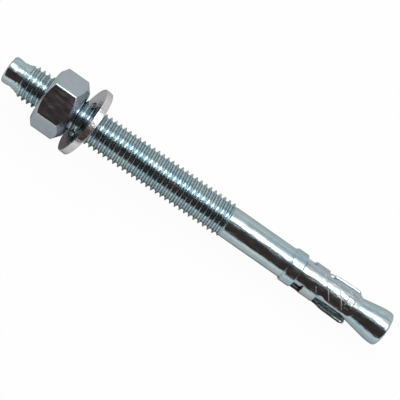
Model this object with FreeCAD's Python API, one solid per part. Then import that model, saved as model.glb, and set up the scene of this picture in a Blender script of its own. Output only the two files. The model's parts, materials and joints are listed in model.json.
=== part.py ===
import FreeCAD, Part
import math
import os

# Wedge anchor, 10 mm thread, 120 mm class, lying on a flat surface.
# All sizes in millimetres. Each piece is first modelled with the stud's axis on X:
# x = 0 is the struck end of the drive pin, and x grows towards the cone.
# Angles about the axis are in degrees from straight up, positive towards -Y.

# stud: drive pin
PIN_RADIUS = 3.85
PIN_EDGE = 0.7
PIN_LAND_LENGTH = 1.9
PIN_TAPER_LENGTH = 0.95
PIN_WAIST_RADIUS = 3.62
PIN_STEP_LENGTH = 0.85
PILOT_RADIUS = 3.88
PILOT_LENGTH = 0.8

# stud: thread, drawn as a plain cylinder of its major diameter
THREAD_RADIUS = 4.975
THREAD_LENGTH = 64.3
RUNOUT_LENGTH = 0.65

# stud: shank, collar, neck and cone
SHANK_RADIUS = 4.42
SHANK_LENGTH = 19.05
COLLAR_RADIUS = 4.98
COLLAR_LENGTH = 3.7
COLLAR_BEVEL_LENGTH = 0.5
COLLAR_BEVEL_DEPTH = 0.3
COLLAR_END_BEVEL = 0.15
NECK_RADIUS = 3.74
CONE_LENGTH = 7.1
CONE_RADIUS = 5.0
CONE_LAND = 2.6
CONE_BLEND = 6.0
END_EDGE = 1.0

# nut: hexagon with both ends chamfered
NUT_ACROSS_FLATS = 15.8
NUT_HEIGHT = 9.25
NUT_FROM_THREAD_START = 7.2
NUT_CHAMFER_ANGLE = 35.0
NUT_FACE_RADIUS = 7.2
NUT_TURN = 4.7
NUT_COUNTERSINK = 0.45
THREAD_CLEARANCE = 0.05

# washer: loose on the stud, leaning until its hole nearly meets the thread
WASHER_RADIUS = 10.0
WASHER_HOLE_CLEARANCE = 0.525
WASHER_THICKNESS = 2.0
WASHER_BEVEL = 0.2
WASHER_TO_THREAD = 0.083
WASHER_TO_NUT = 0.106
WASHER_LEAN_DIRECTION = -15.6

# expansion sleeve: rolled from one sheet blank with three wings
SHEET = 1.0
SLEEVE_CLEARANCE = 0.06
SLEEVE_END_PLAY = 0.1
SLEEVE_LENGTH = 17.45
NOTCH_LENGTH = 2.7
BAND_LENGTH = 4.05
RELIEF_LENGTH = 2.7
FLARE_START = 7.3
FLARE_LENGTH = 3.4
FLARE_RISE = 0.32
TIP_RISE = 0.5
TIP_BEVEL_LENGTH = 1.35
TIP_BEVEL_DEPTH = 0.4
TIP_CORNER = 1.5
SLOT_ANGLE = 51.0
SEAM_ANGLE = 3.0
ROOT_CUT_ANGLE = 14.5
RELIEF_BITE_ANGLE = 5.0
WING_TURN = -6.25
NUB_FROM_TIP = 1.4
NUB_LENGTH = 2.5
NUB_ANGLE = 38.0
NUB_HEIGHT = 0.3
NUB_SLOPE = 0.25

ORIGIN = FreeCAD.Vector(0, 0, 0)
X_AXIS = FreeCAD.Vector(1, 0, 0)
Y_AXIS = FreeCAD.Vector(0, 1, 0)
Z_AXIS = FreeCAD.Vector(0, 0, 1)

PIN_TAPER_END = PIN_LAND_LENGTH + PIN_TAPER_LENGTH
PILOT_START = PIN_TAPER_END + PIN_STEP_LENGTH
THREAD_START = PILOT_START + PILOT_LENGTH
THREAD_END = THREAD_START + THREAD_LENGTH
SHANK_START = THREAD_END + RUNOUT_LENGTH
COLLAR_START = SHANK_START + SHANK_LENGTH
NECK_START = COLLAR_START + COLLAR_LENGTH
SLEEVE_START = NECK_START + SLEEVE_END_PLAY
SLEEVE_TIP = SLEEVE_START + SLEEVE_LENGTH
CONE_START = SLEEVE_TIP
CONE_END = CONE_START + CONE_LENGTH
STUD_LENGTH = CONE_END + CONE_LAND
SLEEVE_INNER = NECK_RADIUS + SLEEVE_CLEARANCE
SLEEVE_OUTER = SLEEVE_INNER + SHEET
WING_ANGLE = (360.0 - 2 * SLOT_ANGLE - SEAM_ANGLE) / 3
NUT_START = THREAD_START + NUT_FROM_THREAD_START
NUT_END = NUT_START + NUT_HEIGHT

# the washer leans until the corner of its hole is as near the thread as its clearance says
WASHER_HOLE_RADIUS = THREAD_RADIUS + WASHER_HOLE_CLEARANCE
HOLE_CORNER = math.hypot(WASHER_HOLE_RADIUS, WASHER_THICKNESS / 2)
HOLE_CORNER_ANGLE = math.atan2(WASHER_THICKNESS / 2, WASHER_HOLE_RADIUS)
WASHER_LEAN = math.acos((THREAD_RADIUS + WASHER_TO_THREAD) / HOLE_CORNER) - HOLE_CORNER_ANGLE

# how far cutting blocks reach beyond the widest piece
REACH = WASHER_RADIUS + NUT_ACROSS_FLATS


def outline(corners):
    """A closed wire in the plane of X and Z through corners (x, z, corner radius)."""
    points = [FreeCAD.Vector(x, 0, z) for x, z, _ in corners]
    edges = []
    stops = []
    for i, (_, _, radius) in enumerate(corners):
        here = points[i]
        back = (points[i - 1] - here).normalize()
        ahead = (points[(i + 1) % len(points)] - here).normalize()
        if radius <= 0:
            stops.append((here, here, here))
            continue
        half = math.acos(max(-1.0, min(1.0, back.dot(ahead)))) / 2
        cut = radius / math.tan(half)
        middle = (back + ahead).normalize()
        depth = radius / math.sin(half) - radius
        stops.append((here + back * cut, here + middle * depth, here + ahead * cut))
    for i, (start, crown, end) in enumerate(stops):
        if (end - start).Length > 1e-6:
            edges.append(Part.Arc(start, crown, end).toShape())
        following = stops[(i + 1) % len(stops)][0]
        if (following - end).Length > 1e-6:
            edges.append(Part.LineSegment(end, following).toShape())
    return Part.Wire(edges)


def turned(corners, start_angle=0.0, sweep=360.0):
    """The solid that a profile of (x, radius, corner radius) sweeps about the X axis."""
    face = Part.Face(outline(corners))
    face.rotate(ORIGIN, X_AXIS, start_angle)
    return face.revolve(ORIGIN, X_AXIS, sweep)


def sector(x_low, x_high, start_angle, end_angle, inner=1.0, outer=REACH):
    """A block between two radial planes, for cutting sheet on radial faces."""
    corners = [(x_low, inner, 0), (x_low, outer, 0), (x_high, outer, 0), (x_high, inner, 0)]
    return turned(corners, start_angle, end_angle - start_angle)


def make_stud():
    thread_lead = THREAD_START + (THREAD_RADIUS - PILOT_RADIUS)
    bevel_radius = COLLAR_RADIUS - COLLAR_BEVEL_DEPTH
    return turned([
        (0, 0, 0),
        (0, PIN_RADIUS, PIN_EDGE),
        (PIN_LAND_LENGTH, PIN_RADIUS, 0),
        (PIN_TAPER_END, PIN_WAIST_RADIUS, 0),
        (PILOT_START, PILOT_RADIUS, 0),
        (THREAD_START, PILOT_RADIUS, 0),
        (thread_lead, THREAD_RADIUS, 0),
        (THREAD_END, THREAD_RADIUS, 0),
        (SHANK_START, SHANK_RADIUS, 0),
        (COLLAR_START, SHANK_RADIUS, 0),
        (COLLAR_START, bevel_radius, 0),
        (COLLAR_START + COLLAR_BEVEL_LENGTH, COLLAR_RADIUS, 0),
        (NECK_START - COLLAR_END_BEVEL, COLLAR_RADIUS, 0),
        (NECK_START, COLLAR_RADIUS - COLLAR_END_BEVEL, 0),
        (NECK_START, NECK_RADIUS, 0),
        (CONE_START, NECK_RADIUS, 0),
        (CONE_END, CONE_RADIUS, CONE_BLEND),
        (STUD_LENGTH, CONE_RADIUS, END_EDGE),
        (STUD_LENGTH, 0, 0),
    ])


def make_nut():
    """A hexagonal prism cut by a cone at each end, which leaves the arcs on its flats."""
    corner_radius = NUT_ACROSS_FLATS / math.sqrt(3)
    ring = [
        FreeCAD.Vector(
            NUT_START,
            -corner_radius * math.sin(math.radians(30 + 60 * i)),
            corner_radius * math.cos(math.radians(30 + 60 * i)),
        )
        for i in range(6)
    ]
    prism = Part.Face(Part.makePolygon(ring + ring[:1])).extrude(X_AXIS * NUT_HEIGHT)
    fall = (corner_radius - NUT_FACE_RADIUS) * math.tan(math.radians(NUT_CHAMFER_ANGLE))
    chamfers = turned([
        (NUT_START, 0, 0),
        (NUT_START, NUT_FACE_RADIUS, 0),
        (NUT_START + fall, corner_radius, 0),
        (NUT_END - fall, corner_radius, 0),
        (NUT_END, NUT_FACE_RADIUS, 0),
        (NUT_END, 0, 0),
    ])
    bore_radius = THREAD_RADIUS + THREAD_CLEARANCE
    mouth = bore_radius + NUT_COUNTERSINK
    bore = turned([
        (NUT_START, 0, 0),
        (NUT_START, mouth, 0),
        (NUT_START + NUT_COUNTERSINK, bore_radius, 0),
        (NUT_END - NUT_COUNTERSINK, bore_radius, 0),
        (NUT_END, mouth, 0),
        (NUT_END, 0, 0),
    ])
    nut = prism.common(chamfers).cut(bore)
    nut.rotate(ORIGIN, X_AXIS, NUT_TURN)
    return nut


def washer_reach(facing):
    """How far the washer reaches from its centre along a direction, where facing is the
    cosine of the angle between that direction and the washer's own axis."""
    edgeways = math.sqrt(1 - facing ** 2)
    half = WASHER_THICKNESS / 2
    rim_corner = WASHER_RADIUS * edgeways + (half - WASHER_BEVEL) * facing
    face_corner = (WASHER_RADIUS - WASHER_BEVEL) * edgeways + half * facing
    return max(rim_corner, face_corner)


def washer_centre():
    """Where the washer's middle lies: its near face leans on the rim of the nut's end face."""
    rim_depth = NUT_FACE_RADIUS * math.tan(WASHER_LEAN)
    half_thickness = WASHER_THICKNESS / 2 / math.cos(WASHER_LEAN)
    return NUT_END + WASHER_TO_NUT + rim_depth + half_thickness


def make_washer():
    """A punched ring about X, leaned about its own centre and moved along the stud."""
    half = WASHER_THICKNESS / 2
    washer = turned([
        (-half, WASHER_HOLE_RADIUS, 0),
        (-half, WASHER_RADIUS - WASHER_BEVEL, 0),
        (-half + WASHER_BEVEL, WASHER_RADIUS, 0),
        (half - WASHER_BEVEL, WASHER_RADIUS, 0),
        (half, WASHER_RADIUS - WASHER_BEVEL, 0),
        (half, WASHER_HOLE_RADIUS, 0),
    ])
    washer.rotate(ORIGIN, Y_AXIS, math.degrees(WASHER_LEAN))
    washer.rotate(ORIGIN, X_AXIS, WASHER_LEAN_DIRECTION)
    washer.translate(X_AXIS * washer_centre())
    return washer


def sleeve_sheet():
    """The sheet before it is cut: a ring that opens towards its tip, where it is bevelled."""
    flare = SLEEVE_START + FLARE_START
    bend = flare + FLARE_LENGTH
    bevel = SLEEVE_TIP - TIP_BEVEL_LENGTH
    return turned([
        (SLEEVE_START, SLEEVE_INNER, 0),
        (SLEEVE_START, SLEEVE_OUTER, 0),
        (flare, SLEEVE_OUTER, 0),
        (bend, SLEEVE_OUTER + FLARE_RISE, 0),
        (bevel, SLEEVE_OUTER + TIP_RISE, 0),
        (SLEEVE_TIP, SLEEVE_OUTER + TIP_RISE - TIP_BEVEL_DEPTH, 0),
        (SLEEVE_TIP, SLEEVE_INNER + TIP_RISE, 0),
        (bend, SLEEVE_INNER + FLARE_RISE, 0),
        (flare, SLEEVE_INNER, 0),
    ])


def relief_hole(start_angle, end_angle):
    """A long round-ended hole across a slot's root, with its sides on radial faces."""
    radius = RELIEF_LENGTH / 2
    middle = SLEEVE_START + NOTCH_LENGTH + BAND_LENGTH + radius
    end_turn = math.degrees(radius / SLEEVE_OUTER)
    first = start_angle + end_turn
    last = end_angle - end_turn
    hole = sector(middle - radius, middle + radius, first, last)
    for angle in (first, last):
        drill = Part.makeCylinder(radius, REACH, FreeCAD.Vector(middle, 0, 0), Z_AXIS)
        drill.rotate(ORIGIN, X_AXIS, angle)
        hole = hole.fuse(drill)
    return hole


def wing_nub(angle):
    """The raised pad near a wing's tip that bites into the wall of the hole."""
    root = SLEEVE_OUTER + TIP_RISE - SHEET / 2
    top = SLEEVE_OUTER + TIP_RISE + NUB_HEIGHT
    end = SLEEVE_TIP - NUB_FROM_TIP
    start = end - NUB_LENGTH
    return turned([
        (start, root, 0),
        (start + NUB_SLOPE, top, 0),
        (end - NUB_SLOPE, top, 0),
        (end, root, 0),
    ], angle - NUB_ANGLE / 2, NUB_ANGLE)


def tip_corners(sleeve):
    """The short edges at the wings' tips, square to the sheet, which are rounded."""
    found = []
    for edge in sleeve.Edges:
        low = min(v.X for v in edge.Vertexes)
        straight = len(edge.Vertexes) == 2 and abs(edge.Length - (SHEET - TIP_BEVEL_DEPTH)) < 0.05
        if straight and low > SLEEVE_TIP - 0.01:
            found.append(edge)
    return found


def make_sleeve():
    first_edge = WING_TURN + WING_ANGLE / 2
    second_edge = WING_TURN - WING_ANGLE / 2
    slot_start = SLEEVE_START + NOTCH_LENGTH + BAND_LENGTH + RELIEF_LENGTH / 2
    after_tip = SLEEVE_TIP + 1
    before_start = SLEEVE_START - 1
    notch_end = SLEEVE_START + NOTCH_LENGTH
    opposite = WING_TURN + 180.0
    cuts = [
        sector(slot_start, after_tip, first_edge, first_edge + SLOT_ANGLE),
        sector(slot_start, after_tip, second_edge - SLOT_ANGLE, second_edge),
        sector(before_start, notch_end, first_edge, first_edge + SLOT_ANGLE + ROOT_CUT_ANGLE),
        sector(before_start, notch_end, second_edge - SLOT_ANGLE - ROOT_CUT_ANGLE, second_edge),
        relief_hole(first_edge - RELIEF_BITE_ANGLE, first_edge + SLOT_ANGLE + ROOT_CUT_ANGLE),
        relief_hole(second_edge - SLOT_ANGLE - ROOT_CUT_ANGLE, second_edge + RELIEF_BITE_ANGLE),
        sector(before_start, after_tip, opposite - SEAM_ANGLE / 2, opposite + SEAM_ANGLE / 2),
    ]
    sleeve = sleeve_sheet()
    for cut in cuts:
        sleeve = sleeve.cut(cut)
    sleeve = sleeve.makeFillet(TIP_CORNER, tip_corners(sleeve))
    pitch = WING_ANGLE + SLOT_ANGLE
    for angle in (WING_TURN - pitch, WING_TURN, WING_TURN + pitch):
        sleeve = sleeve.fuse(wing_nub(angle))
    return sleeve


def low_points(tilt):
    """How low the washer's foot and the cone's rim reach when the stud tips by tilt."""
    fall = math.sin(tilt)
    rise = math.cos(tilt)
    lean_down = math.sin(WASHER_LEAN) * math.cos(math.radians(WASHER_LEAN_DIRECTION))
    facing = math.cos(WASHER_LEAN) * fall + lean_down * rise
    foot = -washer_centre() * fall - washer_reach(facing)
    cone = -(STUD_LENGTH - END_EDGE) * fall - (CONE_RADIUS - END_EDGE) * rise - END_EDGE
    return foot, cone


def rest_tilt():
    """The tilt at which the washer's foot and the cone's rim touch one flat surface."""
    low, high = 0.0, math.radians(20)
    for _ in range(60):
        tilt = (low + high) / 2
        foot, cone = low_points(tilt)
        if foot < cone:
            low = tilt
        else:
            high = tilt
    return tilt


pieces = {
    "stud": make_stud(),
    "nut": make_nut(),
    "washer": make_washer(),
    "sleeve": make_sleeve(),
}

# lay the anchor down: tip it about Y, lift it onto z = 0 and centre it over the origin
tilt = rest_tilt()
lift = -min(low_points(tilt))
for shape in pieces.values():
    shape.rotate(ORIGIN, Y_AXIS, math.degrees(tilt))
box = Part.makeCompound(list(pieces.values())).optimalBoundingBox(False)
shift = FreeCAD.Vector(-(box.XMin + box.XMax) / 2, -(box.YMin + box.YMax) / 2, lift)

os.makedirs("parts", exist_ok=True)
for name, shape in pieces.items():
    shape.translate(shift)
    solids = shape.Solids
    print(name, "solids", len(solids), "valid", shape.isValid(), "volume", round(shape.Volume, 2))
    solids[0].exportStep("parts/" + name + ".step")
print("tilt in degrees", round(math.degrees(tilt), 6), "shift", [round(c, 6) for c in shift])
print("stud length", STUD_LENGTH, "box", box.XLength, box.YLength, box.ZLength)
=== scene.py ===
import json
import math

import bmesh
import bpy
import numpy as np
from mathutils import Matrix, Vector


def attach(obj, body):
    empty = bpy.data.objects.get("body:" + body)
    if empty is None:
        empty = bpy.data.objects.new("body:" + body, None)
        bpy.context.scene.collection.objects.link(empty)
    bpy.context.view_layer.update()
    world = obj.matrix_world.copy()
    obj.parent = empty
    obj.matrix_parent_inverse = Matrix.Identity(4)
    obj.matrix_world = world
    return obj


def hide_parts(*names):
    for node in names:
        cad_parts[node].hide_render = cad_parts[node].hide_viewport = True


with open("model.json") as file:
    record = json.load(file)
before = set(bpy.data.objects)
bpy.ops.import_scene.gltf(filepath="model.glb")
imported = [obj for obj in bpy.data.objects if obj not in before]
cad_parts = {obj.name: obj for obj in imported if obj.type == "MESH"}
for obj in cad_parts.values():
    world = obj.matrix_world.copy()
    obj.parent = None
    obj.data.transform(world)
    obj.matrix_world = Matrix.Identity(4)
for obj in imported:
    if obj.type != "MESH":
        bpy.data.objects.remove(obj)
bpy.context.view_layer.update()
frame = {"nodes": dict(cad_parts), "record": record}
mm = 0.001
longestCut = 0.48  # share of an edge that one rounded corner may take
tiny = 1e-9

# the anchor's own frame: X along the stud from the struck pin end, Z up and away from the floor
mounts = {mount["name"]: mount for mount in frame["record"]["mounts"]}
pinEnd = np.array(mounts["impact_face"]["pos_m"], float)
axisX = -np.array(mounts["impact_face"]["axis"], float)
axisY = np.array([0.0, 1.0, 0.0])
axisZ = np.cross(axisX, axisY)
studTilt = math.atan2(-axisX[2], axisX[0])


def toFrame(points):
    # anchor millimetres to frame metres: pin end + x along, y across, z up
    return pinEnd + mm * (
        points[..., :1] * axisX + points[..., 1:2] * axisY + points[..., 2:3] * axisZ
    )


def around(x, radius, angle):
    # x stays, y = radius cos(angle), z = radius sin(angle)
    x, radius, angle = np.broadcast_arrays(x, radius, angle)
    return np.stack([x, radius * np.cos(angle), radius * np.sin(angle)], -1)


def gridFaces(rows, cols, closed=False):
    # one quad between neighbours, the last column joined to the first when closed
    r, c = np.meshgrid(np.arange(rows - 1), np.arange(cols if closed else cols - 1), indexing="ij")
    n = (c + 1) % cols
    return np.stack([r * cols + c, r * cols + n, (r + 1) * cols + n, (r + 1) * cols + c], -1).reshape(-1, 4)


def joinSheets(sheets):
    # puts several (points, faces) together, with each sheet's face numbers moved on
    points, faces, start = [], [], 0
    for sheetPoints, sheetFaces in sheets:
        flat = sheetPoints.reshape(-1, 3)
        points.append(flat)
        faces.append(sheetFaces + start)
        start += len(flat)
    return np.concatenate(points), np.concatenate(faces)


def buildPiece(name, sheets, weld=2e-4, crease=40):
    # welds the sheets into one closed skin, points its faces outwards and smooths them
    points, faces = joinSheets(sheets)
    mesh = bpy.data.meshes.new(name)
    mesh.from_pydata(toFrame(points).tolist(), [], faces.tolist())
    bm = bmesh.new()
    bm.from_mesh(mesh)
    bmesh.ops.remove_doubles(bm, verts=bm.verts, dist=weld * mm)
    bmesh.ops.dissolve_degenerate(bm, edges=bm.edges, dist=weld * mm / 4)
    loose = [v for v in bm.verts if not v.link_faces]
    bmesh.ops.delete(bm, geom=loose, context="VERTS")
    bmesh.ops.recalc_face_normals(bm, faces=bm.faces)
    bm.to_mesh(mesh)
    bm.free()
    mesh.shade_smooth()
    mesh.set_sharp_from_angle(angle=math.radians(crease))
    piece = bpy.data.objects.new(name, mesh)
    bpy.context.scene.collection.objects.link(piece)
    print(name, len(mesh.vertices), "points", len(mesh.polygons), "faces")
    return piece


def roundedProfile(corners, cuts, steps=4):
    # each corner becomes a curve: (1-t)^2 start + 2t(1-t) corner + t^2 end, start and end a cut away
    corners = np.asarray(corners, float)
    rows = [corners[0]]
    t = np.linspace(0, 1, steps + 1).reshape((-1,) + (1,) * (corners.ndim - 1))
    for i in range(1, len(corners) - 1):
        back, ahead = corners[i - 1] - corners[i], corners[i + 1] - corners[i]
        backLength = np.linalg.norm(back, axis=-1, keepdims=True)
        aheadLength = np.linalg.norm(ahead, axis=-1, keepdims=True)
        if cuts[i] <= 0:
            rows.append(corners[i])
            continue
        start = corners[i] + back * np.minimum(cuts[i] / backLength, longestCut)
        end = corners[i] + ahead * np.minimum(cuts[i] / aheadLength, longestCut)
        rows.extend((1 - t) ** 2 * start + 2 * t * (1 - t) * corners[i] + t ** 2 * end)
    rows.append(corners[-1])
    return np.array(rows)


def turnedSheet(profile, cols):
    # a profile of x and radius carried once round the axis
    angles = np.linspace(0, 2 * math.pi, cols, endpoint=False)
    return around(profile[:, :1], profile[:, 1:2], angles), gridFaces(len(profile), cols, closed=True)


def softRamp(value, width):
    # max(0, value) with its corner rounded off over width
    return (value + np.sqrt(value ** 2 + width ** 2)) / 2


thread = {
    "pitch": 1.5, "crest": 4.985, "depth": 0.84, "crestFlat": 0.13, "flank": 62,
    "crestRound": 0.05, "rootRound": 0.14, "crestAtSide": 0.626, "rowsPerTurn": 18, "cols": 96,
}


def threadRadius(s):
    # distance from the nearest crest goes down a straight flank, rounded at crest and root
    pitch, depth = thread["pitch"], thread["depth"]
    away = np.abs((s - thread["crestAtSide"] + pitch / 2) % pitch - pitch / 2)
    slope = math.tan(math.radians(thread["flank"]))
    down = softRamp(slope * (away - thread["crestFlat"] / 2), thread["crestRound"])
    return thread["crest"] - (depth - softRamp(depth - down, thread["rootRound"]))


def threadSheet(start, end, limit):
    # rows follow the helix: x = s + pitch * angle / 2 pi, held between start and end, where limit
    # brings the radius to the ring that the neighbouring surface begins with
    pitch, cols = thread["pitch"], thread["cols"]
    step = pitch / thread["rowsPerTurn"]
    first = thread["crestAtSide"] + step * math.floor((start - pitch - thread["crestAtSide"]) / step)
    s = np.arange(first, end + step, step)[:, None]
    angle = np.linspace(0, 2 * math.pi, cols + 1)
    x = np.clip(s + pitch * angle / (2 * math.pi), start, end)
    radius = limit(x, threadRadius(s))
    return around(x, radius, angle), gridFaces(len(s), cols + 1)


# stud: pin, thread, shank, collar, neck and cone
stud = {
    "pinRadius": 3.85, "pinLand": 1.9, "waist": 3.62, "waistAt": 2.85, "pilot": 3.88, "pilotAt": 3.6,
    "threadFrom": 4.1, "leadSlope": 0.45, "threadTo": 69.45, "runout": 1.3,
    "shank": 4.42, "collarAt": 88.3, "collar": 4.98, "collarTo": 91.95, "bevel": 0.3,
    "neck": 3.35, "coneFrom": 107.6, "coneTo": 116.85, "cone": 5.0, "length": 119.45,
    "leadRound": 0.02, "collarFoot": 0.05, "collarLead": 0.5, "curveSteps": 6,
    "pinCuts": (0, 0.9, 0.5, 0.3, 0.12, 0), "backCuts": (0, 0.05, 0.08, 0.15, 0.3, 0.1, 1.2, 1.4, 1.0, 0),
}


def makeStud():
    # turned profiles of x and radius at both ends, with the thread's helix between them
    cols = thread["cols"]
    left = roundedProfile(
        [(0, 0), (0, stud["pinRadius"]), (stud["pinLand"], stud["pinRadius"]),
         (stud["waistAt"], stud["waist"]), (stud["pilotAt"], stud["pilot"]),
         (stud["threadFrom"], stud["pilot"])],
        stud["pinCuts"], stud["curveSteps"],
    )
    right = roundedProfile(
        [(stud["threadTo"], stud["shank"]), (stud["collarAt"] - stud["collarFoot"], stud["shank"]),
         (stud["collarAt"], stud["collar"] - stud["bevel"]),
         (stud["collarAt"] + stud["collarLead"], stud["collar"]),
         (stud["collarTo"], stud["collar"]), (stud["collarTo"], stud["neck"]),
         (stud["coneFrom"], stud["neck"]), (stud["coneTo"], stud["cone"]),
         (stud["length"], stud["cone"]), (stud["length"], 0)],
        stud["backCuts"], stud["curveSteps"],
    )

    def limit(x, radius):
        # the thread rises from the pilot at its start and sinks into the shank at its end
        lead = stud["pilot"] + softRamp((x - stud["threadFrom"]) * stud["leadSlope"], stud["leadRound"])
        lead = np.where(x <= stud["threadFrom"], stud["pilot"], lead)
        fade = np.clip((stud["threadTo"] - x) / stud["runout"], 0, 1)
        return np.minimum(stud["shank"] + (radius - stud["shank"]) * fade, lead)

    sheets = [
        turnedSheet(left, cols),
        threadSheet(stud["threadFrom"], stud["threadTo"], limit),
        turnedSheet(right, cols),
    ]
    return buildPiece("studMetal", sheets)


# nut: hexagon with both ends chamfered, and a thread that runs on the stud's
nut = {
    "acrossFlats": 15.8, "start": 11.7, "height": 9.25, "turn": 4.7, "cornerRound": 0.6, "edge": 0.14,
    "face": 7.2, "chamfer": 35, "washerFace": 6.5, "washerChamfer": 38, "sink": 0.45, "mouthEdge": 0.08,
    "mouthSlope": 1.2, "threadGap": 0.06, "flatCols": 10, "cornerCols": 6, "curveSteps": 4,
}


def hexRing():
    # angles and radii round a hexagon: even steps on each flat, then a corner curve
    half = nut["acrossFlats"] / 2
    side = half * math.tan(math.radians(30))
    cut = nut["cornerRound"]
    t = np.linspace(0, 1, nut["cornerCols"] + 1)[1:-1]
    along = np.linspace(-side + cut, side - cut, nut["flatCols"])
    flat = np.stack([np.full(nut["flatCols"], half), along], -1)
    turn = math.radians(60)
    nextWay = np.array([-math.sin(turn), math.cos(turn)])
    corner = np.array([half, side])
    a, b = corner - np.array([0, cut]), corner + nextWay * cut
    t = t[:, None]
    curve = (1 - t) ** 2 * a + 2 * t * (1 - t) * corner + t ** 2 * b
    one = np.concatenate([flat, curve])
    angle = np.arctan2(one[:, 1], one[:, 0])
    radius = np.hypot(one[:, 0], one[:, 1])
    return np.concatenate([angle + turn * k for k in range(6)]), np.tile(radius, 6)


def makeNut():
    # outside: rings of the hexagon's radius, cut back by (radius - face) * tan(chamfer) at both ends
    angle, radius = hexRing()
    # flats face up and down the anchor's Z, then turned a little towards -Y
    angle = angle + math.radians(90 + nut["turn"])
    low, high = nut["start"], nut["start"] + nut["height"]
    lowFall = (radius - nut["face"]) * math.tan(math.radians(nut["chamfer"]))
    highFall = (radius - nut["washerFace"]) * math.tan(math.radians(nut["washerChamfer"]))
    bore = thread["crest"] + nut["threadGap"]
    mouth = bore + nut["sink"]

    def ring(x, r):
        return np.stack(np.broadcast_arrays(x, r, radius)[:2], -1)

    outer = roundedProfile(
        np.array([
            ring(low + nut["sink"], bore), ring(low, mouth), ring(low, nut["face"]),
            ring(low + lowFall, radius), ring(high - highFall, radius), ring(high, nut["washerFace"]),
            ring(high, mouth), ring(high - nut["sink"], bore),
        ]),
        [0, nut["mouthEdge"]] + [nut["edge"]] * 4 + [nut["mouthEdge"], 0], nut["curveSteps"],
    )
    points = around(outer[..., 0], outer[..., 1], angle)
    outside = (points, gridFaces(len(outer), len(angle), closed=True))

    # the bore's thread: the stud's own thread a little larger, on the hexagon's columns
    start, end = low + nut["sink"], high - nut["sink"]
    pitch = thread["pitch"]
    step = pitch / thread["rowsPerTurn"]
    turnAngle = np.concatenate([angle, angle[:1] + 2 * math.pi])
    first = thread["crestAtSide"] + step * math.floor((start - 2 * pitch - thread["crestAtSide"]) / step)
    s = np.arange(first, end + step, step)[:, None]
    x = np.clip(s + pitch * turnAngle / (2 * math.pi), start, end)
    inner = threadRadius(s) + nut["threadGap"]
    closeness = np.minimum(x - start, end - x)
    inner = np.where(closeness <= tiny, bore, np.maximum(inner, bore - closeness * nut["mouthSlope"]))
    inside = (around(x, inner, turnAngle), gridFaces(len(s), len(turnAngle)))
    return buildPiece("nutMetal", [outside, inside])


# washer: punched ring, leaning on the thread
washer = {
    "radius": 10.0, "hole": 5.5, "thickness": 2.0, "rim": 0.28, "farRim": 0.8, "holeEdge": 0.16,
    "punchedFrom": 0.056, "cols": 144, "curveSteps": 5,
}


def makeWasher():
    # a turned ring, its own X, Y and Z laid along the washer's axis and two directions across it
    half = washer["thickness"] / 2
    corners = [
        (0, washer["hole"]), (half, washer["hole"]), (half, washer["radius"]),
        (-half, washer["radius"]), (-half, washer["hole"]), (0, washer["hole"]),
    ]
    edge, hole = washer["rim"], washer["holeEdge"]
    cuts = [0, hole, edge, edge * washer["farRim"], hole, 0]
    profile = roundedProfile(corners, cuts, washer["curveSteps"])
    points, faces = turnedSheet(profile, washer["cols"])
    centre, axis = washerPlace()
    side = np.cross(axis, [0.0, 1.0, 0.0])
    side /= np.linalg.norm(side)
    other = np.cross(axis, side)
    points = centre + points[..., :1] * axis + points[..., 1:2] * other + points[..., 2:3] * side
    piece = buildPiece("washerMetal", [(points, faces)])
    # punched is 1 on the rim and 0 on the flat faces
    co = np.zeros(len(piece.data.vertices) * 3)
    piece.data.vertices.foreach_get("co", co)
    own = (co.reshape(-1, 3) - pinEnd) / mm @ np.stack([axisX, axisY, axisZ]).T - centre
    away = np.sqrt(np.sum(own ** 2, 1) - (own @ axis) ** 2)
    mark = piece.data.attributes.new("punched", "FLOAT", "POINT")
    onRim = away > washer["radius"] - washer["punchedFrom"]
    mark.data.foreach_set("value", onRim.astype(np.float32))
    return piece


def washerPlace():
    # the washer's own axis and middle in anchor millimetres: its node's largest triangle lies on a flat
    # face, and half way between its outermost points is its middle
    mesh = frame["nodes"]["washer"].data
    area, normal = np.zeros(len(mesh.polygons)), np.zeros(len(mesh.polygons) * 3)
    mesh.polygons.foreach_get("area", area)
    mesh.polygons.foreach_get("normal", normal)
    axis = normal.reshape(-1, 3)[np.argmax(area)]
    axis = axis * np.sign(axis @ axisX)
    co = np.zeros(len(mesh.vertices) * 3)
    mesh.vertices.foreach_get("co", co)
    co = co.reshape(-1, 3)
    centre = (co.min(0) + co.max(0)) / 2
    basis = np.stack([axisX, axisY, axisZ])
    return basis @ (centre - pinEnd) / mm, basis @ axis


# sleeve: one sheet blank with three wings, rolled round the neck; x counts from its collar end
sleeve = {
    "start": 92.05, "length": 17.7, "inner": 3.8, "sheet": 1.0, "notch": 2.7, "band": 4.05, "relief": 2.7,
    "flareAt": 7.3, "bendAt": 10.7, "bendRise": 0.38, "tipRise": 0.5, "bevel": 1.35, "bevelDepth": 0.4,
    "wings": (84, 85, 76), "slots": (52, 60), "turn": -11.3, "sideBite": 10.5, "middleBite": 5,
    "tipRounds": (1.0, 2.2, 1.2), "padFrom": 1.4, "padLength": 2.5, "padAngle": 38, "padHeight": 0.3,
    "padSlope": 0.25, "padTail": 0.8, "padShift": 3.6, "rollOut": 0.12, "rollIn": 0.38,
    "rollCols": 4, "wingCols": 26, "gapCols": 10, "colGap": 1.2, "rowGap": 0.02, "crease": 45,
    "edge": 0.08, "edgeAngle": 50, "edgeSegments": 2,
}
# how many rows each stretch of the sleeve has along X
sleeveRows = {"tab": 5, "band": 6, "hole": 17, "wing": 12, "pad": 6, "tip": 14}


def sheetRadii(x):
    # inner and outer radius along X: level, then flared in two slopes, bevelled outside at the tip
    tip = sleeve["length"]
    bends = [sleeve["flareAt"], sleeve["bendAt"], tip - sleeve["bevel"]]
    rise = np.interp(x, bends, [0, sleeve["bendRise"], sleeve["tipRise"]])
    down = np.interp(x, [tip - sleeve["bevel"], tip], [0, sleeve["bevelDepth"]])
    return sleeve["inner"] + rise, sleeve["inner"] + sleeve["sheet"] + rise - down


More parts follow.
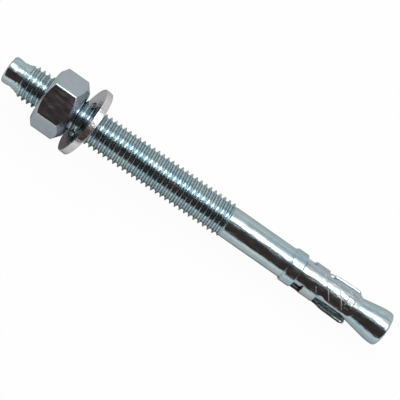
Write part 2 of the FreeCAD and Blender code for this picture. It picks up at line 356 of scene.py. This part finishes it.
def wingEdge(x, edge, outward, bite, tabBite, tipRound):
    # angle of one wing edge at each x: tab edge, round hole end, straight slot edge, rounded tip
    radius = sleeve["relief"] / 2
    middle = sleeve["notch"] + sleeve["band"] + radius
    outer = sleeve["inner"] + sleeve["sheet"]
    turn = math.degrees(radius / outer)
    xi = np.clip((x - middle) / radius, -1, 1)
    hole = outward * (turn * (1 - np.sqrt(1 - xi ** 2)) - bite)
    hole = np.where(x > middle, outward * np.minimum(outward * hole, 0), hole)
    zeta = np.clip((x - (sleeve["length"] - tipRound)) / tipRound, 0, 1)
    tipCut = math.degrees(tipRound / outer) * (1 - np.sqrt(1 - zeta ** 2))
    wing = edge + hole - outward * tipCut
    tab = edge - outward * tabBite
    holeStart = sleeve["notch"] + sleeve["band"]
    share = np.clip((x - sleeve["notch"]) / sleeve["band"], 0, 1)
    return np.where(x >= holeStart, wing, tab + (edge + outward * (turn - bite) - tab) * share)


# thin raised lines rolled into the sheet, slanting across the wings
ridge = {
    "from": 5.1, "to": 15.9, "first": 4.64, "step": 4.05, "slope": 0.86, "width": 0.25, "height": 0.10,
    "sideGap": 7, "shortest": 12, "blunt": 8, "tries": 9, "rows": 36, "cols": 10,
}


def makeRidges(wings):
    # each line: x = its start + slope * arc from the middle wing's low edge, kept inside the wing and
    # the range of x; its section is a half sunk ellipse that shrinks to nothing at both ends
    sheets = []
    radius = sleeve["inner"] + sleeve["sheet"]
    reference = sleeve["turn"] - sleeve["wings"][1] / 2
    rise = ridge["slope"] * radius * math.pi / 180  # mm of x for each degree
    t = np.linspace(0, 1, ridge["rows"])[:, None]
    a = np.linspace(0, 2 * math.pi, ridge["cols"], endpoint=False)
    taper = np.sqrt(np.clip(1 - (2 * t - 1) ** ridge["blunt"], 0, 1))
    length = math.hypot(1, ridge["slope"])
    for centre, half in wings:
        reach = half - ridge["sideGap"]
        for number in range(-ridge["tries"], ridge["tries"] + 1):
            start = ridge["first"] + number * ridge["step"]
            low = max(centre - reach, reference + (ridge["from"] - start) / rise)
            high = min(centre + reach, reference + (ridge["to"] - start) / rise)
            if high - low < ridge["shortest"]:
                continue
            theta = low + (high - low) * t
            across = ridge["width"] / 2 * np.cos(a) * taper
            x = start + rise * (theta - reference) - across / length
            turned = np.radians(theta + 90) + across * ridge["slope"] / length / radius
            outer = sheetRadii(x)[1] + ridge["height"] * np.sin(a) * taper
            points = around(sleeve["start"] + x, outer, turned)
            sheets.append((points, gridFaces(len(t), len(a), closed=True)))
    return sheets


def makeSleeve():
    # a flat blank on a grid of x and angle, rolled to the two radii of sheetRadii, its gaps left out
    notch, holeStart = sleeve["notch"], sleeve["notch"] + sleeve["band"]
    tip, radius = sleeve["length"], sleeve["relief"] / 2
    padEnd = tip - sleeve["padFrom"]
    padStart = padEnd - sleeve["padLength"]
    swing = np.linspace(0, math.pi, sleeveRows["hole"])
    tipSwing = np.linspace(0, math.pi / 2, sleeveRows["tip"])
    x = np.unique(np.round(np.concatenate([
        np.linspace(0, notch, sleeveRows["tab"]), np.linspace(notch, holeStart, sleeveRows["band"]),
        holeStart + radius * (1 - np.cos(swing)),
        np.linspace(holeStart + 2 * radius, padStart, sleeveRows["wing"]),
        [padEnd, tip - sleeve["bevel"], sleeve["flareAt"], sleeve["bendAt"]],
        np.linspace(padStart + sleeve["padSlope"], padEnd - sleeve["padTail"], sleeveRows["pad"]),
        tip - max(sleeve["tipRounds"]) * (1 - np.sin(tipSwing)),
    ]), 4))
    x = x[np.concatenate([[True], np.diff(x) > sleeve["rowGap"]])]
    x[-1] = tip
    left, wide, right = np.array(sleeve["wings"]) / 2
    lowSlot, highSlot = sleeve["slots"]
    side, middle = sleeve["sideBite"], sleeve["middleBite"]
    small, large, outerTip = sleeve["tipRounds"]
    # each wing's centre and half width, then hole bite, tab bite and tip round of its low and its high
    # edge, or None at the seam
    wings = [
        (sleeve["turn"] - wide - lowSlot - left, left, None, (side, side, outerTip)),
        (sleeve["turn"], wide, (middle, 0, small), (middle, 0, large)),
        (sleeve["turn"] + wide + highSlot + right, right, (side, side, outerTip), None),
    ]
    pad = sleeve["padAngle"] / 2
    slope = math.degrees(sleeve["padSlope"] / sleeve["inner"])
    rolls = np.array([sleeve["rollOut"], sleeve["rollIn"]])
    columns, kinds, pinch = [], [], []
    for number, (centre, half, lowCut, highCut) in enumerate(wings):
        low, high = np.full_like(x, centre - half), np.full_like(x, centre + half)
        if lowCut:
            low = wingEdge(x, centre - half, -1, *lowCut)
        if highCut:
            high = wingEdge(x, centre + half, 1, *highCut)
        if columns:
            last = columns[-1]
            for share in np.linspace(0, 1, sleeve["gapCols"] + 1)[1:-1]:
                columns.append(last + (low - last) * share)
                kinds.append(-1)
                pinch.append(np.zeros(2))
        # even columns, others on the pad's sides to keep its edges crisp, and rolled ones at both edges
        roll = math.degrees(rolls.max() / (sleeve["inner"] + sleeve["sheet"]))
        bend = np.linspace(0, math.pi / 2, sleeve["rollCols"] + 1)
        ends = roll * (1 - np.cos(bend))
        even = np.linspace(-half + roll, half - roll, sleeve["wingCols"])
        marks = sleeve["padShift"] + np.array([-pad, -pad + slope, pad - slope, pad])
        keep = np.min(np.abs(even[:, None] - marks), 1) > sleeve["colGap"]
        keep[[0, -1]] = True
        rolled = np.concatenate([ends[:-1] - half, half - ends[:-1]])
        for a in np.sort(np.concatenate([even[keep], marks, rolled])):
            share = (a + half) / (2 * half)
            columns.append(low + (high - low) * share)
            kinds.append(number)
            # how far the sheet's outer and inner faces draw in at its sheared edges
            nearEdge = math.radians(half - abs(a)) * (sleeve["inner"] + sleeve["sheet"])
            pinch.append(rolls - np.sqrt(rolls ** 2 - np.clip(rolls - nearEdge, 0, rolls) ** 2))
    theta = np.array(columns).T
    kinds = np.array(kinds)
    inner, outer = sheetRadii(x)
    # only wings and tabs have sheared sides: the band's rows keep their full thickness
    onBand = (x > notch - sleeve["rowGap"] / 2) & (x < holeStart + sleeve["rowGap"] / 2)
    pinch = np.where(onBand[:, None, None], 0, np.array(pinch)[None])
    # pads: a raised field with a steep front and a longer slope towards the tip
    lift = np.zeros_like(theta)
    along = np.minimum((x - padStart) / sleeve["padSlope"], (padEnd - x) / sleeve["padTail"])
    for wing in wings:
        across = (pad - np.abs(theta - wing[0] - sleeve["padShift"])) / slope
        lift += sleeve["padHeight"] * np.clip(np.minimum(along[:, None], across), 0, 1)
    rows, cols = theta.shape
    angle = math.pi / 2 + np.radians(theta)  # theta counts from straight up towards -Y
    world = sleeve["start"] + x[:, None]
    outside = around(world, outer[:, None] + lift - pinch[..., 0], angle)
    inside = around(world, inner[:, None] + pinch[..., 1], angle)

    # a cell is sheet in the band rows, or where both its columns belong to one wing
    midRow = (x[:-1] + x[1:]) / 2
    inBand = (midRow > notch) & (midRow < holeStart)
    sameWing = (kinds[:-1] >= 0) & (kinds[1:] >= 0) & (kinds[:-1] == kinds[1:])
    solid = inBand[:, None] | sameWing[None, :]
    quads = gridFaces(rows, cols).reshape(rows - 1, cols - 1, 4)[solid]
    # every edge that only one cell uses gets a wall between outside and inside
    pairs = np.concatenate([quads[:, [k, (k + 1) % 4]] for k in range(4)])
    ordered = np.sort(pairs, 1)
    where, counts = np.unique(ordered, axis=0, return_index=True, return_counts=True)[1:]
    border = pairs[where[counts == 1]]
    total = rows * cols
    walls = np.stack([border[:, 1], border[:, 0], border[:, 0] + total, border[:, 1] + total], 1)
    points = np.concatenate([outside.reshape(-1, 3), inside.reshape(-1, 3)])
    faces = np.concatenate([quads, quads[:, ::-1] + total, walls])
    sheets = [(points, faces)] + makeRidges([wing[:2] for wing in wings])
    piece = buildPiece("sleeveMetal", sheets, crease=sleeve["crease"])
    soften = piece.modifiers.new("edges", "BEVEL")
    soften.width = sleeve["edge"] * mm
    soften.segments = sleeve["edgeSegments"]
    soften.limit_method = "ANGLE"
    soften.angle_limit = math.radians(sleeve["edgeAngle"])
    return piece


studPiece = makeStud()
nutPiece = makeNut()
washerPiece = makeWasher()
sleevePiece = makeSleeve()
print("pieces made")


# zinc plate: one recipe, with each piece's own tones, roughness, grain and dents
zinc = {
    "studMetal": {
        "tones": ((0.39, 0.52, 0.58), (0.50, 0.59, 0.61)), "rough": 0.15, "grain": 0.4, "dents": 0.6,
    },
    "nutMetal": {
        "tones": ((0.49, 0.49, 0.58), (0.39, 0.50, 0.51)), "rough": 0.17, "grain": 0.7, "dents": 0.4,
    },
    "washerMetal": {
        "tones": ((0.54, 0.46, 0.56), (0.44, 0.52, 0.53)), "rough": 0.17, "grain": 0.9, "dents": 0.8,
        "rimTone": (0.68, 0.67, 0.68), "rimRough": 0.05,
    },
    "sleeveMetal": {
        "tones": ((0.41, 0.49, 0.55), (0.49, 0.55, 0.57)), "rough": 0.15, "grain": 0.8, "dents": 0.9,
    },
}
# the same on every piece; depths are metres, and the edge tint darkens the metal where it is seen edge on,
# a painted shade in place of the shadowed floor that the outlines would mirror
plate = {
    "paintedEdgeShade": (0.62, 0.62, 0.60), "tintAt": (0.38, 0.62), "patchAt": (0.3, 0.7),
    "smoother": 0.05, "duller": 0.13, "grainDepth": 0.000016, "dentDepth": 0.00009,
}
# noise scale, its stretch along the stud, detail and roughness
plateNoise = {
    "clouds": (320, 0.6, 5, 0.6), "patches": (1100, 0.35, 4, 0.5),
    "grain": (3800, 0.35, 4, 0.6), "dents": (1500, 0.5, 3, 0.5),
}


def zincPlate(name, look):
    material = bpy.data.materials.new(name)
    material.use_nodes = True
    nodes, links = material.node_tree.nodes, material.node_tree.links
    shader = nodes["Principled BSDF"]
    shader.inputs["Metallic"].default_value = 1.0
    # painted shade: the edge tint draws the metal darker where it is seen edge on, standing in for the
    # shadowed floor it mirrors there
    shader.inputs["Specular Tint"].default_value = (*plate["paintedEdgeShade"], 1)
    place = nodes.new("ShaderNodeTexCoord")
    turn = nodes.new("ShaderNodeMapping")
    turn.inputs["Rotation"].default_value = (0, -studTilt, 0)
    links.new(place.outputs["Object"], turn.inputs["Vector"])

    def noise(kind):
        scale, stretch, detail, rough = plateNoise[kind]
        size = nodes.new("ShaderNodeMapping")
        size.inputs["Scale"].default_value = (stretch, 1, 1)
        links.new(turn.outputs["Vector"], size.inputs["Vector"])
        node = nodes.new("ShaderNodeTexNoise")
        node.inputs["Scale"].default_value = scale
        node.inputs["Detail"].default_value = detail
        node.inputs["Roughness"].default_value = rough
        links.new(size.outputs["Vector"], node.inputs["Vector"])
        return node

    clouds = noise("clouds")
    tint = nodes.new("ShaderNodeValToRGB")
    for element, position, tone in zip(tint.color_ramp.elements, plate["tintAt"], look["tones"]):
        element.position = position
        element.color = (*tone, 1)
    links.new(clouds.outputs["Fac"], tint.inputs["Fac"])

    patches = noise("patches")
    rough = nodes.new("ShaderNodeMapRange")
    rough.inputs["From Min"].default_value = plate["patchAt"][0]
    rough.inputs["From Max"].default_value = plate["patchAt"][1]
    rough.inputs["To Min"].default_value = look["rough"] - plate["smoother"]
    rough.inputs["To Max"].default_value = look["rough"] + plate["duller"]
    links.new(patches.outputs["Fac"], rough.inputs["Value"])

    if "rimTone" in look:
        # the punched rim is duller and lighter than the flat faces
        rim = nodes.new("ShaderNodeAttribute")
        rim.attribute_name = "punched"
        paler = nodes.new("ShaderNodeMix")
        paler.data_type = "RGBA"
        paler.inputs["B"].default_value = (*look["rimTone"], 1)
        links.new(rim.outputs["Fac"], paler.inputs["Factor"])
        links.new(tint.outputs["Color"], paler.inputs["A"])
        links.new(paler.outputs["Result"], shader.inputs["Base Color"])
        duller = nodes.new("ShaderNodeMath")
        duller.operation = "MULTIPLY_ADD"
        duller.inputs[1].default_value = look["rimRough"]
        links.new(rim.outputs["Fac"], duller.inputs[0])
        links.new(rough.outputs["Result"], duller.inputs[2])
        links.new(duller.outputs[0], shader.inputs["Roughness"])
    else:
        links.new(tint.outputs["Color"], shader.inputs["Base Color"])
        links.new(rough.outputs["Result"], shader.inputs["Roughness"])

    # fine grain on top of shallow dents, both stretched along the stud
    grain = noise("grain")
    dents = noise("dents")
    fine = nodes.new("ShaderNodeBump")
    fine.inputs["Strength"].default_value = look["grain"]
    fine.inputs["Distance"].default_value = plate["grainDepth"]
    links.new(grain.outputs["Fac"], fine.inputs["Height"])
    uneven = nodes.new("ShaderNodeBump")
    uneven.inputs["Strength"].default_value = look["dents"]
    uneven.inputs["Distance"].default_value = plate["dentDepth"]
    links.new(dents.outputs["Fac"], uneven.inputs["Height"])
    links.new(fine.outputs["Normal"], uneven.inputs["Normal"])
    links.new(uneven.outputs["Normal"], shader.inputs["Normal"])
    return material


pieces = ((studPiece, "stud"), (nutPiece, "nut"), (washerPiece, "washer"), (sleevePiece, "sleeve"))
for piece, node in pieces:
    piece.data.materials.append(zincPlate(node + "Zinc", zinc[piece.name]))
    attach(piece, node)
    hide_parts(node)
print("zinc plate on")


# surroundings: white floor that keeps a faint shadow, one long soft lamp, and a plain sky with a dark card
studio = {
    "floorSize": 4.0, "floorPaper": 0.85, "floorWhite": 0.97, "floorGloss": 0.1,
    "lampSide": 0.33, "lampUp": 0.50, "lampLength": 1.3, "lampWidth": 0.20, "lampTurn": -12,
    "lampPower": 3.2, "card": (0.058, 0.038, 0.034),
}
# the sky's tone by how far it leans from overhead, in degrees, minus is towards -Y
skyBands = [
    (-180, (0.97,) * 3), (-69, (0.97,) * 3), (-65, studio["card"]), (2, studio["card"]),
    (14, (0.42,) * 3), (50, (1.2,) * 3), (58, (0.8,) * 3), (73, (0.52,) * 3),
    (90, (0.97,) * 3), (180, (0.97,) * 3),
]


def makeFloor():
    mesh = bpy.data.meshes.new("floor")
    half = studio["floorSize"] / 2
    corners = [(-half, -half, 0), (half, -half, 0), (half, half, 0), (-half, half, 0)]
    mesh.from_pydata(corners, [], [(0, 1, 2, 3)])
    floor = bpy.data.objects.new("floor", mesh)
    bpy.context.scene.collection.objects.link(floor)
    material = bpy.data.materials.new("floorPaper")
    material.use_nodes = True
    nodes, links = material.node_tree.nodes, material.node_tree.links
    nodes.remove(nodes["Principled BSDF"])
    paper = nodes.new("ShaderNodeBsdfDiffuse")
    paper.inputs["Color"].default_value = (*(studio["floorPaper"],) * 3, 1)
    white = nodes.new("ShaderNodeEmission")
    # the camera sees it nearly plain white, and metal mirrors it mostly as lit paper with its shadows
    path = nodes.new("ShaderNodeLightPath")

    def mathNode(operation, first, second):
        node = nodes.new("ShaderNodeMath")
        node.operation = operation
        links.new(first, node.inputs[0])
        if isinstance(second, float):
            node.inputs[1].default_value = second
        else:
            links.new(second, node.inputs[1])
        return node.outputs[0]

    seen = mathNode("MULTIPLY", path.outputs["Is Camera Ray"], studio["floorWhite"])
    bounced = mathNode("MAXIMUM", path.outputs["Is Glossy Ray"], path.outputs["Is Transmission Ray"])
    share = mathNode("MAXIMUM", seen, mathNode("MULTIPLY", bounced, studio["floorGloss"]))
    mix = nodes.new("ShaderNodeMixShader")
    links.new(share, mix.inputs["Fac"])
    links.new(paper.outputs["BSDF"], mix.inputs[1])
    links.new(white.outputs["Emission"], mix.inputs[2])
    links.new(mix.outputs["Shader"], nodes["Material Output"].inputs["Surface"])
    mesh.materials.append(material)


def makeSky():
    # tone = ramp of the lean atan2(y, z) of each direction, so every band runs along X; the camera
    # sees plain white
    world = bpy.data.worlds.new("studioSky")
    bpy.context.scene.world = world
    world.use_nodes = True
    nodes, links = world.node_tree.nodes, world.node_tree.links
    background = nodes["Background"]
    place = nodes.new("ShaderNodeTexCoord")
    split = nodes.new("ShaderNodeSeparateXYZ")
    links.new(place.outputs["Generated"], split.inputs["Vector"])
    lean = nodes.new("ShaderNodeMath")
    lean.operation = "ARCTAN2"
    links.new(split.outputs["Y"], lean.inputs[0])
    links.new(split.outputs["Z"], lean.inputs[1])
    ramp = nodes.new("ShaderNodeValToRGB")
    scale = nodes.new("ShaderNodeMapRange")
    scale.inputs["From Min"].default_value = -math.pi
    scale.inputs["From Max"].default_value = math.pi
    links.new(lean.outputs[0], scale.inputs["Value"])
    links.new(scale.outputs["Result"], ramp.inputs["Fac"])

    elements = ramp.color_ramp.elements
    for band in skyBands[1:-1]:
        elements.new((band[0] + 180) / 360)
    for element, (degrees, tone) in zip(elements, skyBands):
        element.position = (degrees + 180) / 360
        element.color = (*tone, 1)
    links.new(ramp.outputs["Color"], background.inputs["Color"])
    white = nodes.new("ShaderNodeBackground")
    white.inputs["Color"].default_value = (1, 1, 1, 1)
    path = nodes.new("ShaderNodeLightPath")
    mix = nodes.new("ShaderNodeMixShader")
    links.new(path.outputs["Is Camera Ray"], mix.inputs["Fac"])
    links.new(background.outputs["Background"], mix.inputs[1])
    links.new(white.outputs["Background"], mix.inputs[2])
    links.new(mix.outputs["Shader"], nodes["World Output"].inputs["Surface"])


def makeLamp():
    lamp = bpy.data.lights.new("longLamp", "AREA")
    lamp.shape = "RECTANGLE"
    lamp.size, lamp.size_y = studio["lampLength"], studio["lampWidth"]
    lamp.energy = studio["lampPower"]
    holder = bpy.data.objects.new("longLamp", lamp)
    holder.location = (0, studio["lampSide"], studio["lampUp"])
    # it faces the middle of the floor, then turns on its own middle
    facing = Vector(holder.location).to_track_quat("Z", "Y").to_matrix()
    turn = Matrix.Rotation(math.radians(studio["lampTurn"]), 3, "Z")
    holder.rotation_euler = (facing @ turn).to_euler()
    holder.visible_camera = False
    bpy.context.scene.collection.objects.link(holder)


makeFloor()
makeSky()
makeLamp()

# camera: nearly straight down, turned so that the stud runs down to the right
view = {
    "place": (-5.4, 0.41, 336.0), "turn": 34.94, "tip": 0.984, "focal": 1258.0, "imageWidth": 400,
    "sensor": 36.0,
}
camera = bpy.data.cameras.new("viewCamera")
camera.sensor_width = view["sensor"]
camera.lens = view["focal"] * camera.sensor_width / view["imageWidth"]
eye = bpy.data.objects.new("viewCamera", camera)
bpy.context.scene.collection.objects.link(eye)
place = Matrix.Translation(Vector(view["place"]) * mm)
tip = Matrix.Rotation(-math.radians(view["tip"]), 4, "Y")
turn = Matrix.Rotation(math.radians(view["turn"]), 4, "Z")
eye.matrix_world = place @ tip @ turn
bpy.context.scene.camera = eye
bpy.context.scene.view_settings.view_transform = "Standard"
print("studio ready")
